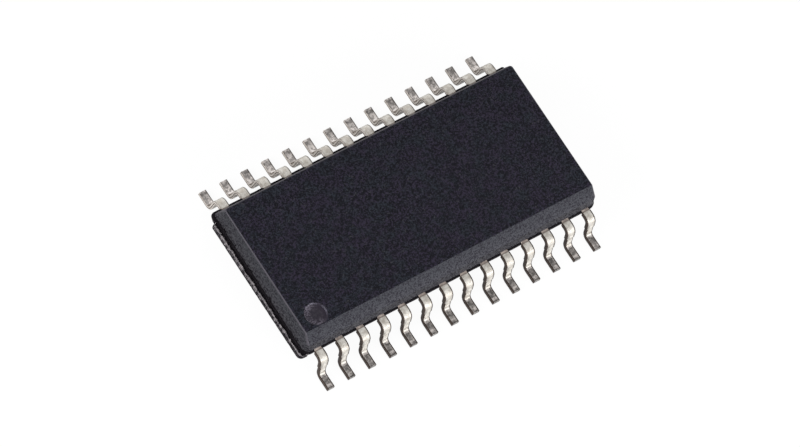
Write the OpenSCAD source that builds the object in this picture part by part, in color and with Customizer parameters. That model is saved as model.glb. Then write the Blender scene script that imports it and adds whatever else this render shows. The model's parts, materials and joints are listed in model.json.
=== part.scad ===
// Surface-mount integrated circuit in a moulded small-outline package with gull-wing leads.
// Origin: centre of the lead pattern, on the seating plane that the solder feet stand on.
// +X runs along the body, -Y is the side of pin 1, +Z is up. Sizes are in millimetres.

/* [Leads] */
// Distance between neighbouring leads
lead_spacing = 1.27; // [1.2:0.01:1.5]
// Number of leads, half of them along each long side
lead_count = 28; // [16:2:28]
// Thickness of the lead-frame strip
lead_t = 0.21; // [0.15:0.01:0.26]
// Width of a lead at its exit, leg and foot
foot_w = 0.43; // [0.36:0.01:0.5]
// Width of a lead over its shoulder, where the dam bar was cut away
shoulder_w = 0.5; // [0.44:0.01:0.6]
// Straight run from the parting line to the upper bend
shoulder_run = 0.3; // [0.2:0.01:0.6]
// Centre-line radius of the upper bend
upper_bend_r = 0.325; // [0.2:0.005:0.4]
// Length of the leg that keeps the shoulder's width
shoulder_drop = 0.33; // [0.1:0.01:0.5]
// Centre-line radius of the lower bend
lower_bend_r = 0.31; // [0.2:0.005:0.4]
// Slope of the leg, in degrees from the horizontal
leg_angle = 81; // [72:1:88]
// Length of the flat part of the foot
foot_run = 0.7; // [0.4:0.01:1]
// Height of the lead frame's middle plane over the seating plane
frame_z = 1.4; // [1.3:0.01:1.6]

/* [Moulded body] */
// Width of the body at its parting line
body_w = 8.6; // [8.2:0.1:10]
// Length of body beyond the middle of the last lead, at each end
end_margin = 0.745; // [0.6:0.005:1.2]
// Height of the top face over the seating plane
body_top = 2.56; // [2.4:0.01:3]
// Gap between the underside and the seating plane
standoff = 0.15; // [0.05:0.01:0.3]
// Draft of the long sides, in degrees from the vertical
side_draft = 12; // [6:0.5:15]
// Draft of the two ends, in degrees from the vertical
end_draft = 9; // [4:0.5:14]
// Radius of the upright corners
corner_r = 0.15; // [0.08:0.01:0.3]
// Width of the bevel along the long top edge on the pin-1 side, measured across the top
bevel_w = 0.5; // [0.3:0.01:0.8]
// Height of the bevel, measured down from the top
bevel_h = 0.55; // [0.2:0.01:0.7]

/* [Moulding marks] */
// Radius of the pin-1 dimple at its rim
dimple_r = 0.6; // [0.35:0.01:0.8]
// Depth of the dimple's wall, which slopes at 45 degrees
dimple_wall = 0.07; // [0.03:0.01:0.12]
// Extra depth of the dished floor
dimple_dish = 0.03; // [0.01:0.005:0.06]
// Distance from the end of the top face to the dimple's rim
dimple_end_gap = 0.44; // [0.2:0.01:1.5]
// Distance from the bevel to the dimple's rim
dimple_side_gap = 0.02; // [0.01:0.01:1.5]
// Width of the thin flash that stands out all along the parting line
flash_w = 0.07; // [0.02:0.01:0.12]
// Reach of the rough ledge of flash at the gate end
ledge_reach = 0.38; // [0.2:0.01:0.5]
// Distance from the far side of the body to the start of the ledge
ledge_inset = 0.42; // [0.3:0.01:1]
// Radius of the ledge's corners
ledge_r = 0.2; // [0.05:0.01:0.4]
// Radius of the two ejector-pin marks on the underside
ejector_r = 0.75; // [0.4:0.01:1]
// Depth of the ejector-pin marks
ejector_depth = 0.05; // [0.02:0.01:0.1]
// Distance from each ejector-pin mark to the end of the body
ejector_inset = 3.6; // [2.5:0.1:4]

/* [Die and its paddle] */
// Width of the paddle that carries the die
pad_w = 3.9; // [3:0.1:4]
// Length of paddle beyond the last finger tip, at each end
pad_overhang = 0.15; // [0:0.01:0.3]
// Depth of the paddle below the plane of the lead frame
pad_downset = 0.2; // [0.05:0.01:0.3]
// Width of the two tie bars that hold the paddle
tie_w = 0.5; // [0.3:0.01:0.8]
// Straight run of tie bar before it ramps up from the paddle
tie_run = 0.1; // [0.05:0.01:0.2]
// Length of the tie bar's ramp
ramp_run = 0.35; // [0.3:0.01:0.6]
// Depth inside the body at which the tie bar of the gate end is broken off
tie_setback = 0.1; // [0.02:0.01:0.3]
// Rim of paddle left bare around the die
pad_rim = 0.4; // [0.25:0.01:0.6]
// Thickness of the silicon die
die_t = 0.3; // [0.2:0.01:0.4]
// Thickness of the adhesive under the die
attach_t = 0.03; // [0.02:0.005:0.06]

/* [Lead fingers and bond wires] */
// Distance between neighbouring finger tips
tip_spacing = 0.9; // [0.75:0.01:0.95]
// Width of a finger at its tip
finger_w = 0.34; // [0.25:0.01:0.4]
// Gap between the paddle's long edge and the finger tips
finger_gap = 0.4; // [0.3:0.01:0.5]
// Fingers at each end of a side that reach for the paddle's short edge
end_fingers = 2; // [1:1:2]
// Gap between the paddle's short edge and the tips of those fingers
end_gap = 0.75; // [0.6:0.01:0.9]
// Gap between a tie bar and the nearest of those fingers
tie_gap = 0.43; // [0.3:0.01:0.5]
// Length of each finger that runs straight in from the parting line
finger_run = 0.7; // [0.5:0.01:0.8]
// Diameter of a bond wire
wire_d = 0.035; // [0.02:0.005:0.05]
// Diameter of the flattened ball that bonds a wire to the die
ball_d = 0.09; // [0.06:0.005:0.12]
// Height of that ball
ball_h = 0.03; // [0.02:0.005:0.05]
// Height of the middle of a wire's loop above the die
wire_loop = 0.2; // [0.15:0.01:0.3]
// Centre-line radius of the bend at the top of the loop
wire_bend_r = 0.1; // [0.05:0.01:0.12]
// Distance from the edge of the die to the balls
ball_inset = 0.15; // [0.08:0.01:0.2]
// Distance from the tip of a finger to the end of its wire
stitch_inset = 0.2; // [0.12:0.01:0.3]

/* [Hidden] */
$fn = 48;

// Outline of the body
side_leads = lead_count / 2;
body_l = (side_leads - 1) * lead_spacing + 2 * end_margin;
upper_h = body_top - frame_z;
lower_h = frame_z - standoff;
top_l = body_l - 2 * upper_h * tan(end_draft);
top_w = body_w - 2 * upper_h * tan(side_draft);

// The leg takes up the height that the two bends leave
bends_drop = (upper_bend_r + lower_bend_r) * (1 - cos(leg_angle));
leg_run = (frame_z - lead_t / 2 - bends_drop) / sin(leg_angle);

// Paddle, die and the planes that the wires land on
long_tips = side_leads - 2 * end_fingers;
pad_l = (long_tips - 1) * tip_spacing + 2 * pad_overhang;
pad_z = frame_z - pad_downset;
pad_top = pad_z + lead_t / 2;
die_l = pad_l - 2 * pad_rim;
die_w = pad_w - 2 * pad_rim;
die_top = pad_top + attach_t + die_t;
finger_top = frame_z + lead_t / 2;

// Facets round a wire and along its bend
wire_sides = 6;
wire_steps = 4;

// Extra length that carries a cutting solid clear through a face
clear = 1;

// Pins are numbered along -Y from -X to +X, and back along +Y
function side(n) = n <= side_leads ? -1 : 1;
function place(n) = n <= side_leads ? n - 1 : lead_count - n;
function lead_x(n) = (place(n) - (side_leads - 1) / 2) * lead_spacing;
function from_end(n) = min(place(n), side_leads - 1 - place(n));

function two_digits(n) = str(n < 10 ? "0" : "", n);
function lead_name(n) = str("lead_", two_digits(n));
function wire_name(n) = str("bond_wire_", two_digits(n));

function unit(v) = v / norm(v);
function to_left(v) = [-v.y, v.x];

// Point k of a path moved sideways by d, with the corners mitred
function mitre(path, k, d) =
    let (
        last = len(path) - 1,
        before = unit(path[max(k, 1)] - path[max(k, 1) - 1]),
        after = unit(path[min(k + 1, last)] - path[min(k + 1, last) - 1]),
        across = unit(to_left(before) + to_left(after))
    )
    path[k] + across * d / (across * to_left(before));

// Outline of a strip that follows a path, with a width of its own at each point
function strip(path, widths) = concat(
    [for (k = [0 : len(path) - 1]) mitre(path, k, widths[k] / 2)],
    [for (k = [len(path) - 1 : -1 : 0]) mitre(path, k, -widths[k] / 2)]
);

// Where a lead's finger turns, and where it ends
function finger_turn(n) = [lead_x(n), side(n) * (body_w / 2 - finger_run)];
function finger_tip(n) = from_end(n) < end_fingers
    ? [
        sign(lead_x(n)) * (pad_l / 2 + end_gap),
        side(n) * ((tie_w + finger_w) / 2 + tie_gap + from_end(n) * tip_spacing)
      ]
    : [lead_x(n) / lead_spacing * tip_spacing, side(n) * (pad_w / 2 + finger_gap)];

// Ends of a bond wire: its ball on the die, and its stitch on the finger
function ball(n) = from_end(n) < end_fingers
    ? [
        sign(lead_x(n)) * (die_l / 2 - ball_inset),
        side(n) * (die_w / 2 - ball_inset) * (from_end(n) + 1) / (end_fingers + 1),
        die_top
      ]
    : [finger_tip(n).x * die_l / pad_l, side(n) * (die_w / 2 - ball_inset), die_top];
function stitch(n) =
    let (p = finger_tip(n) + stitch_inset * unit(finger_turn(n) - finger_tip(n)))
    [p.x, p.y, finger_top];

// Straight stretch of strip along +X. What follows starts where it ends.
module run(length, width) {
    translate([0, -width / 2, -lead_t / 2]) cube([length, width, lead_t]);
    translate([length, 0, 0]) children();
}

// Bend of the strip, down for turn = 1 and up for turn = -1
module bend(radius, turn, width) {
    translate([0, 0, -turn * radius])
        rotate([90, turn > 0 ? leg_angle - 90 : 90, 0])
            rotate_extrude(angle = leg_angle)
                translate([radius - lead_t / 2, -width / 2]) square([lead_t, width]);
    translate([radius * sin(leg_angle), 0, -turn * radius * (1 - cos(leg_angle))])
        rotate([0, turn * leg_angle, 0]) children();
}

// Outer part of a lead, along +X from the flash to the end of the foot
module gull_wing() {
    run(shoulder_run - flash_w, shoulder_w)
    bend(upper_bend_r, 1, shoulder_w)
    run(shoulder_drop, shoulder_w)
    run(leg_run - shoulder_drop, foot_w)
    bend(lower_bend_r, -1, foot_w)
    run(foot_run, foot_w);
}

// Inner part of a lead, out as far as reach beyond the parting line
module finger(n, reach) {
    path = [[lead_x(n), side(n) * (body_w / 2 + reach)], finger_turn(n), finger_tip(n)];
    translate([0, 0, frame_z - lead_t / 2]) linear_extrude(lead_t)
        polygon(strip(path, [foot_w, foot_w, finger_w]));
}

module lead(n) {
    color("#c9c6bd") {
        finger(n, flash_w);
        translate([lead_x(n), side(n) * (body_w / 2 + flash_w), frame_z])
            rotate(side(n) * 90) gull_wing();
    }
}

// Sheet metal that is stamped as one: the paddle and its two tie bars
module paddle() {
    ramp_in = pad_l / 2 + tie_run;
    ramp_out = ramp_in + ramp_run;
    path = [
        [-body_l / 2 + tie_setback, frame_z], [-ramp_out, frame_z], [-ramp_in, pad_z],
        [ramp_in, pad_z], [ramp_out, frame_z], [body_l / 2 + flash_w, frame_z]
    ];
    translate([-pad_l / 2, -pad_w / 2, pad_z - lead_t / 2]) cube([pad_l, pad_w, lead_t]);
    rotate([90, 0, 0]) linear_extrude(tie_w, center = true)
        polygon(strip(path, [for (p = path) lead_t]));
}

module die_block(z, height) {
    translate([-die_l / 2, -die_w / 2, z]) cube([die_l, die_w, height]);
}

// Solid of round sections. Each ring is [middle, heading, radius], with the heading square
// to sideways.
module swept(rings, sideways) {
    last = len(rings) - 1;
    points = [for (ring = rings, k = [0 : wire_sides - 1])
        let (a = k * 360 / wire_sides)
        ring[0] + ring[2] * (cos(a) * sideways + sin(a) * cross(ring[1], sideways))];
    walls = [for (low = [0 : last - 1], k = [0 : wire_sides - 1])
        let (
            next = (k + 1) % wire_sides,
            here = low * wire_sides,
            there = here + wire_sides
        )
        each [[here + k, there + k, there + next], [here + k, there + next, here + next]]];
    start = [for (k = [0 : wire_sides - 1]) k];
    end = [for (k = [wire_sides - 1 : -1 : 0]) last * wire_sides + k];
    polyhedron(points, concat(walls, [start, end]));
}

// Wire that rises from its ball, bends over and runs straight down to its stitch.
// The bend ends where its tangent passes through the stitch.
module wire(n) {
    from = ball(n);
    to = stitch(n);
    up = [0, 0, 1];
    ahead = unit([to.x - from.x, to.y - from.y, 0]);
    span = (to - from) * ahead - wire_bend_r;
    neck = wire_loop - wire_bend_r;
    drop = from.z + neck - to.z;
    turn = 90 + atan2(drop, span) + asin(wire_bend_r / norm([span, drop]));
    bend_middle = from + neck * up + wire_bend_r * ahead;
    bend = [for (k = [0 : wire_steps])
        let (a = turn * k / wire_steps)
        [
            bend_middle + wire_bend_r * (sin(a) * up - cos(a) * ahead),
            sin(a) * ahead + cos(a) * up,
            wire_d / 2
        ]];
    swept(concat(
        [
            [from, up, ball_d / 2],
            [from + ball_h * up, up, ball_d / 2],
            [from + ball_h * up, up, wire_d / 2]
        ],
        bend,
        [[to, -up, wire_d / 2]]
    ), [-ahead.y, ahead.x, 0]);
}

module rounded_rectangle(l, w, r) {
    offset(r) square([l - 2 * r, w - 2 * r], center = true);
}

// Half of the body, drafted from the parting plane over a height
module drafted_half(height) {
    linear_extrude(height, slices = 1, scale = [
        1 - 2 * height * tan(end_draft) / body_l,
        1 - 2 * height * tan(side_draft) / body_w
    ]) rounded_rectangle(body_l, body_w, corner_r);
}

// Wedge that cuts the bevel along the long top edge on the pin-1 side
module bevel_cut() {
    inner_y = -top_w / 2 + bevel_w;
    outer_y = -top_w / 2 - bevel_h * tan(side_draft);
    slope = bevel_h / (inner_y - outer_y);
    translate([0, 0, body_top]) rotate([90, 0, 90])
        linear_extrude(body_l + clear, center = true)
            polygon([
                [inner_y + clear, slope * clear],
                [outer_y - clear, -bevel_h - slope * clear],
                [outer_y - clear, slope * clear]
            ]);
}

// Flash: a thin rim all round, and a broad ledge where the gate was
module flash() {
    near_y = -body_w / 2 - flash_w;
    far_y = body_w / 2 - ledge_inset;
    ledge_l = ledge_reach + ledge_r + clear;
    translate([0, 0, frame_z - lead_t / 2]) linear_extrude(lead_t) {
        rounded_rectangle(body_l + 2 * flash_w, body_w + 2 * flash_w, corner_r + flash_w);
        translate([ledge_l / 2 - body_l / 2 - ledge_reach, (near_y + far_y) / 2])
            rounded_rectangle(ledge_l, far_y - near_y, ledge_r);
    }
}

// Pin-1 mark: a 45-degree wall with a dished floor
module dimple() {
    floor_r = dimple_r - dimple_wall;
    dish_r = (floor_r ^ 2 + dimple_dish ^ 2) / (2 * dimple_dish);
    translate([
        -top_l / 2 + dimple_end_gap + dimple_r,
        -top_w / 2 + bevel_w + dimple_side_gap + dimple_r,
        body_top - dimple_wall
    ]) {
        cylinder(h = 2 * dimple_wall, r1 = floor_r, r2 = dimple_r + dimple_wall);
        intersection() {
            translate([0, 0, dish_r - dimple_dish]) sphere(dish_r);
            translate([0, 0, -2 * dimple_dish]) cylinder(h = 2 * dimple_dish + dimple_wall, r = floor_r);
        }
    }
}

module body() {
    color("#2b2931") difference() {
        union() {
            translate([0, 0, frame_z]) drafted_half(upper_h);
            translate([0, 0, frame_z]) mirror([0, 0, 1]) drafted_half(lower_h);
            flash();
        }
        bevel_cut();
        dimple();
        for (end = [-1, 1])
            translate([end * (body_l / 2 - ejector_inset), 0, standoff - clear])
                cylinder(h = clear + ejector_depth, r = ejector_r);
        for (n = [1 : lead_count]) finger(n, flash_w + clear);
        paddle();
        die_block(pad_top, attach_t + die_t);
        for (n = [1 : lead_count]) wire(n);
    }
}

module die_pad() {
    color("#b98d62") paddle();
}

module die_attach() {
    color("#d9d9d9") die_block(pad_top, attach_t);
}

module die() {
    color("#5c6478") die_block(pad_top + attach_t, die_t);
}

module bond_wire(n) {
    color("#e0b04a") wire(n);
}

body();
die_pad();
die_attach();
die();
for (n = [1 : lead_count]) lead(n);
for (n = [1 : lead_count]) bond_wire(n);
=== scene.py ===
# %% [markdown]
# # A small-outline chip, dressed for its portrait
#
# A chip of this kind is a black block of moulded epoxy with a row of bent metal leads along
# each long side. The solids come from the CAD model and are loaded first, as a frame that
# never moves. Every piece below is built round that frame, in metres, with +X along the body,
# -Y on the side of pin 1 and +Z up.

# %% Load the frame
import json
from math import cos, pi, radians, sin, tan
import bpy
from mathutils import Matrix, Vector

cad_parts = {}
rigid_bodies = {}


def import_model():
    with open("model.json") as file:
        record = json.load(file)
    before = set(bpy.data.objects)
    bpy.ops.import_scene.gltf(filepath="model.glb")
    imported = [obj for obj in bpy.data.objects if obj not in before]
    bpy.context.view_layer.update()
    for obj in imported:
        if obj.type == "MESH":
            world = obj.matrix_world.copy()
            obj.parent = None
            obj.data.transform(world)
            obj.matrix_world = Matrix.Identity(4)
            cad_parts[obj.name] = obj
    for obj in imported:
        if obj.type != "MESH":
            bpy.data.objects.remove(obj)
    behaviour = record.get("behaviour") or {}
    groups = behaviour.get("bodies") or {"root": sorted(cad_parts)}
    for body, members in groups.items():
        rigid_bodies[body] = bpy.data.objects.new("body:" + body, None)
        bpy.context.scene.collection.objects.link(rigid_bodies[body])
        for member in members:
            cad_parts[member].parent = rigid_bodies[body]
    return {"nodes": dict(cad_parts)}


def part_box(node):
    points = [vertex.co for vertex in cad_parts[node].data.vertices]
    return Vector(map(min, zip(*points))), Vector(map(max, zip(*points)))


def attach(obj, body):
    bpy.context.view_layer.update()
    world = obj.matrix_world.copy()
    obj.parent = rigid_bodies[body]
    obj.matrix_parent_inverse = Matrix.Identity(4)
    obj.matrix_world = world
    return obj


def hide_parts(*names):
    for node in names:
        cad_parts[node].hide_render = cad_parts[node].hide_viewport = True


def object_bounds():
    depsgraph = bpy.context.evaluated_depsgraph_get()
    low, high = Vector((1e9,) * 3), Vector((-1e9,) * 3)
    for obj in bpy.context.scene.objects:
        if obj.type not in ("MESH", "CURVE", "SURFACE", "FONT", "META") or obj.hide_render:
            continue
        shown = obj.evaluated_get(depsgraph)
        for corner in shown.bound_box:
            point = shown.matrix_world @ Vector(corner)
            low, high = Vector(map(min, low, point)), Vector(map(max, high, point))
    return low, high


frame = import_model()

from types import SimpleNamespace

import bpy
from mathutils import Matrix, Vector, noise

cad_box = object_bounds()
print("CAD box:", [tuple(round(v * 1000, 3) for v in corner) for corner in cad_box])

# %% [markdown]
# ## Sizes
#
# A chip is easier to think about in millimetres, while Blender works in metres. One factor,
# MM, turns the first into the second. The overall sizes are read from the frame, so that the
# dressed pieces follow the solids when these change; only what a box can't tell is written
# down here: radii, drafts and the finer marks of the mould.

# %% Sizes of the leads
MM = 0.001
first_low, first_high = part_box("lead_01")

LEAD_COUNT = sum(name.startswith("lead_") for name in frame["nodes"])
SIDE_LEADS = LEAD_COUNT // 2
LEAD_T = 0.21 * MM
LEAD_EDGE_R = 0.04 * MM
FOOT_W = 0.43 * MM
FINGER_W = 0.34 * MM
FINGER_RUN = 0.7 * MM
SHOULDER_W = 0.54 * MM
SHOULDER_DROP = 0.33 * MM
SHOULDER_RUN = 0.3 * MM
UPPER_BEND_R = 0.325 * MM
LOWER_BEND_R = 0.31 * MM
LEG_ANGLE = radians(81)
FRAME_TOP = first_high.z
FRAME_Z = FRAME_TOP - LEAD_T / 2
FIRST_X = first_low.x + 0.25 * MM
SPACING = -2 * FIRST_X / (SIDE_LEADS - 1)
FOOT_END = -first_low.y
FOOT_START = FOOT_END - 0.7 * MM
print("leads:", LEAD_COUNT, "spacing in mm:", round(SPACING / MM, 3))

# %% Sizes of the body
body_low, body_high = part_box("body")

FLASH_W = 0.07 * MM
NEAR_FLASH = 0.08 * MM
FAR_FLASH = 0.09 * MM
LEDGE_REACH = 0.38 * MM
LEDGE_INSET = 0.42 * MM
BODY_TOP = body_high.z
BODY_BOTTOM = body_low.z
UPPER_H = BODY_TOP - FRAME_Z
LOWER_H = FRAME_Z - BODY_BOTTOM
HALF_L = body_high.x - FLASH_W
HALF_W = body_high.y - FLASH_W
SIDE_DRAFT = tan(radians(12))
END_DRAFT = tan(radians(9))
CORNER_R = 0.15 * MM
BEVEL_W = 0.435 * MM
BEVEL_H = 0.55 * MM
EDGE_R = 0.065 * MM
MOULD_SHIFT = 0.05 * MM
EXIT_Y = HALF_W + 0.035 * MM
DIMPLE_R = 0.6 * MM
DIMPLE_WALL = 0.07 * MM
DIMPLE_DISH = 0.03 * MM
DIMPLE_CENTRE = (
    -(HALF_L - UPPER_H * END_DRAFT) + 0.44 * MM + DIMPLE_R,
    -(HALF_W - UPPER_H * SIDE_DRAFT) + 0.52 * MM + DIMPLE_R,
)
EJECTOR_R = 0.75 * MM
EJECTOR_DEPTH = 0.05 * MM
EJECTOR_INSET = 3.6 * MM
print("body in mm:", round(2 * HALF_L / MM, 2), "by", round(2 * HALF_W / MM, 2))

# %% [markdown]
# ## A small language for node graphs
#
# Materials and Geometry Nodes are both graphs of sockets. Wired by hand, a formula such as
# 1 - a * b takes four statements. The class below wraps an output socket and teaches it the
# usual operators, so that the same formula is written as it is read. Everything that isn't
# arithmetic comes from one method, node(), which takes the node's type, its settings and
# what goes into its sockets.

# %% Sockets with operators
class Value:
    """An output socket of a node graph that can be used in Python expressions."""

    def __init__(self, graph, socket):
        self.graph = graph
        self.socket = socket

    def math(self, operation, *others):
        inputs = {0: self} | {i + 1: other for i, other in enumerate(others)}
        return self.graph.node("ShaderNodeMath", {"operation": operation}, inputs)

    def __add__(self, other):
        return self.math("ADD", other)

    def __sub__(self, other):
        return self.math("SUBTRACT", other)

    def __rsub__(self, other):
        return self * -1.0 + other

    def __mul__(self, other):
        return self.math("MULTIPLY", other)

    def __truediv__(self, other):
        return self.math("DIVIDE", other)

    __radd__ = __add__
    __rmul__ = __mul__


print("operators: + - * / on sockets")

# %% A graph with one method for any node
class Graph:
    """A node tree with one method that makes any node."""

    def __init__(self, tree):
        self.tree = tree

    def node(self, kind, settings=None, inputs=None, out=0):
        made = self.tree.nodes.new(kind)
        for name, setting in (settings or {}).items():
            if name == "stops":
                self.set_stops(made.color_ramp, setting)
            else:
                setattr(made, name, setting)
        for name, source in (inputs or {}).items():
            self.feed(self.find(made.inputs, name), source)
        return Value(self, self.find(made.outputs, out))

    @staticmethod
    def find(sockets, name):
        if isinstance(name, int):
            return sockets[name]
        return next(s for s in sockets if s.enabled and s.name == name)

    @staticmethod
    def set_stops(ramp, stops):
        while len(ramp.elements) < len(stops):
            ramp.elements.new(1.0)
        for element, (position, grey) in zip(ramp.elements, stops):
            element.position = position
            element.color = (grey, grey, grey, 1.0)

    def feed(self, socket, source):
        if isinstance(source, Value):
            self.tree.links.new(source.socket, socket)
        else:
            socket.default_value = source


print("graphs ready")

# %% [markdown]
# A few words more make the finishes read like sentences. `between` is a soft threshold: it
# turns a number into a mask from 0 to 1. `mix_colours` lays one colour over another by such a
# mask, and `tones` turns a number into a grey by way of a Color Ramp. Colours go through Mix
# and Vector Math nodes, since a Math node would turn them grey.

# %% Masks and colours
def parts(vector):
    """The x, y and z of a vector socket, as three values."""
    split = vector.graph.node("ShaderNodeSeparateXYZ", None, {0: vector})
    return [Value(vector.graph, socket) for socket in split.socket.node.outputs]


def between(value, low, high):
    """0 below low, 1 above high, and smooth between them."""
    settings = {"interpolation_type": "SMOOTHSTEP"}
    inputs = {"Value": value, "From Min": low, "From Max": high}
    return value.graph.node("ShaderNodeMapRange", settings, inputs, out="Result")


def as_colour(colour):
    return (*colour, 1.0) if isinstance(colour, tuple) else colour


def mix_colours(amount, low, high):
    inputs = {"Factor": amount, "A": as_colour(low), "B": as_colour(high)}
    return amount.graph.node("ShaderNodeMix", {"data_type": "RGBA"}, inputs, out="Result")


def tones(value, stops):
    """Grey that changes with a value, from stops of (value, grey)."""
    return value.graph.node("ShaderNodeValToRGB", {"stops": stops}, {"Fac": value}, out="Color")


def tinted(colour, tint):
    return colour.graph.node("ShaderNodeVectorMath", {"operation": "MULTIPLY"}, {0: colour, 1: tint})


def dimmed(colour, share):
    return colour.graph.node("ShaderNodeVectorMath", {"operation": "SCALE"}, {0: colour, "Scale": share})


print("masks and colours ready")

# %% [markdown]
# ## Finishes: shared steps
#
# Each finish is a Principled shader. What stays the same all over, such as the specular level,
# is set on the shader's own socket. What changes over the surface, such as the grain, comes
# from noise in Object coordinates: the pieces are never moved, so their own coordinates are
# the CAD frame's, and the grain has its true size in metres.

# %% New material and texture helpers
def new_finish(name, **constants):
    """Makes a material and returns it with its graph and its shader node."""
    material = bpy.data.materials.new(name)
    material.use_nodes = True
    shader = material.node_tree.nodes["Principled BSDF"]
    for socket, constant in constants.items():
        shader.inputs[socket.replace("_", " ")].default_value = constant
    return material, Graph(material.node_tree), shader


def place(graph):
    return graph.node("ShaderNodeTexCoord", out="Object")


def normal(graph):
    return graph.node("ShaderNodeNewGeometry", out="Normal")


def attribute(graph, name):
    return graph.node("ShaderNodeAttribute", {"attribute_name": name}, out="Fac")


def grains(graph, size, detail=2.0, roughness=0.5, stretch=None):
    """Noise between 0 and 1 whose features measure about `size` metres."""
    where = place(graph)
    if stretch:
        where = graph.node("ShaderNodeMapping", None, {"Vector": where, "Scale": stretch})
    inputs = {"Vector": where, "Scale": 1 / size, "Detail": detail, "Roughness": roughness}
    return graph.node("ShaderNodeTexNoise", None, inputs, out="Fac")


def bump(graph, shader, height, depth, strength=1.0):
    inputs = {"Height": height, "Distance": depth, "Strength": strength}
    graph.feed(shader.inputs["Normal"], graph.node("ShaderNodeBump", None, inputs, out="Normal"))


print("finish helpers ready")

# %% [markdown]
# ## Finish of the mould compound
#
# The compound is epoxy filled with fine silica and blackened with soot. The mould's cavity is
# spark-eroded, which leaves an even, sandy grain of about a tenth of a millimetre. The grain
# scatters gloss, so the top looks deep charcoal with a violet cast, while faces that lean
# towards a light turn grey. A rough Principled shader with a low specular level does the same.
#
# Two layers of noise make the grain: a coarse one for the eroded craters and a fine one for the
# filler. A third, much wider one shifts the tint between violet and blue-grey, as flow marks
# do, and a fourth scatters a few pale specks. The drafted faces are painted greyer than the
# top, and paler still towards the parting line: painted light, for the light that they take
# from the white table, and against the shade that falls on them near the parting line.

# %% Faces of the compound
def level_face(graph, speckle, flow):
    """Charcoal of the top and the underside, in two tints, with a few pale specks."""
    tint = mix_colours(between(flow, 0.40, 0.60), (0.0150, 0.0190, 0.0250), (0.0210, 0.0165, 0.0300))
    skin = mix_colours(speckle, (0.0001, 0.0001, 0.0006), tint)
    specks = between(grains(graph, 0.09 * MM, detail=1.0), 0.66, 0.74)
    return mix_colours(specks, skin, (0.0300, 0.0300, 0.0330))


def drafted_face(graph, speckle):
    """Grey of the sides and ends: painted light, paler than the top and paler towards the parting line.
    """
    height = parts(place(graph))[2]
    # The grey gets paler lower down: painted light that makes up for the shade near the parting line.
    up_side = between(height, FRAME_Z, BODY_TOP)
    grey = mix_colours(up_side, (0.0530, 0.0520, 0.0575), (0.0262, 0.0282, 0.0310))
    upper_half = between(height, FRAME_Z - 0.2 * MM, FRAME_Z + 0.1 * MM)
    pits = mix_colours(upper_half, (0.0170, 0.0160, 0.0185), (0.0030, 0.0022, 0.0035))
    return mix_colours(speckle, grey, pits)


print("two faces of the compound")

# %% [markdown]
# The pin that forms the dimple is polished by use, and so is what it leaves behind: a smoother
# floor and wall. The wall is painted paler, most on the left of the brink: a painted highlight.
# The moulded edges are painted pale as well: a painted highlight for the thin bright line
# along them. Neither place needs an image for a mask: the dimple is found by the distance from
# its centre, the edges by their leaning normals.

# %% Dimple and edge highlights
def dimple_face(graph, speckle, flow):
    """Mask of the dimple, and its colour, with a painted highlight on its wall."""
    across = parts(place(graph))[0] - DIMPLE_CENTRE[0]
    level = tinted(place(graph), (1.0, 1.0, 0.0))
    centre = (*DIMPLE_CENTRE, 0.0)
    inputs = {0: level, 1: centre}
    radius = graph.node("ShaderNodeVectorMath", {"operation": "DISTANCE"}, inputs, out="Value")
    inside = 1 - between(radius, DIMPLE_R - 0.02 * MM, DIMPLE_R + 0.03 * MM)
    # The wall is painted pale on the left of the brink and dark on the right: a painted highlight.
    rightward = between(across, -0.1 * MM, 0.4 * MM)
    brink_highlight = mix_colours(rightward, (0.1250, 0.1120, 0.1400), (0.0240, 0.0190, 0.0280))
    by_wall = between(radius + flow * 0.2 * MM, 0.3 * MM, 0.6 * MM)
    floor_and_brink_highlight = mix_colours(by_wall, (0.0300, 0.0270, 0.0330), brink_highlight)
    return inside, mix_colours(speckle, (0.0200, 0.0170, 0.0230), floor_and_brink_highlight)


def edge_highlight(lean_x, lean_y, upward):
    """Mask of the painted highlight on the rounded edges of the top, all but the one at the bevel."""
    leaning = between(lean_x.math("ABSOLUTE").math("MAXIMUM", lean_y), 0.15, 0.35)
    return leaning * between(upward, 0.22, 0.40) * (1 - between(upward, 0.93, 0.99))


print("dimple and edges of the compound")

# %% Mould compound
def mould_compound():
    material, graph, shader = new_finish("mould_compound", Specular_IOR_Level=0.235)
    shader.inputs["Specular Tint"].default_value = (0.80, 0.79, 1.0, 1.0)
    craters = grains(graph, 0.10 * MM, detail=2.5, roughness=0.65)
    filler = grains(graph, 0.05 * MM)
    flow = grains(graph, 0.8 * MM, detail=5.0, roughness=0.75)
    speckle = between(craters * 0.75 + filler * 0.25, 0.43, 0.60)
    lean_x, lean_y, upward = parts(normal(graph))
    is_level = between(upward.math("ABSOLUTE"), 0.90, 0.98)
    skin = mix_colours(is_level, drafted_face(graph, speckle), level_face(graph, speckle, flow))
    on_edge = edge_highlight(lean_x, lean_y, upward)
    # Paler colour on the rounded edges: a painted highlight for the thin bright line along them.
    edge_highlight_tone = mix_colours(craters, (0.0300, 0.0270, 0.0320), (0.0720, 0.0670, 0.0760))
    skin = mix_colours(on_edge, skin, edge_highlight_tone)
    in_dimple, pocket = dimple_face(graph, speckle, flow)
    graph.feed(shader.inputs["Base Color"], mix_colours(in_dimple, skin, pocket))
    roughness = 0.50 + craters * 0.12 + flow * 0.05 - in_dimple * 0.2 - on_edge * 0.12
    graph.feed(shader.inputs["Roughness"], roughness)
    bump(graph, shader, craters * 0.7 + filler * 0.3, 0.02 * MM)
    return material


COMPOUND = mould_compound()
print("made", COMPOUND.name)
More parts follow.
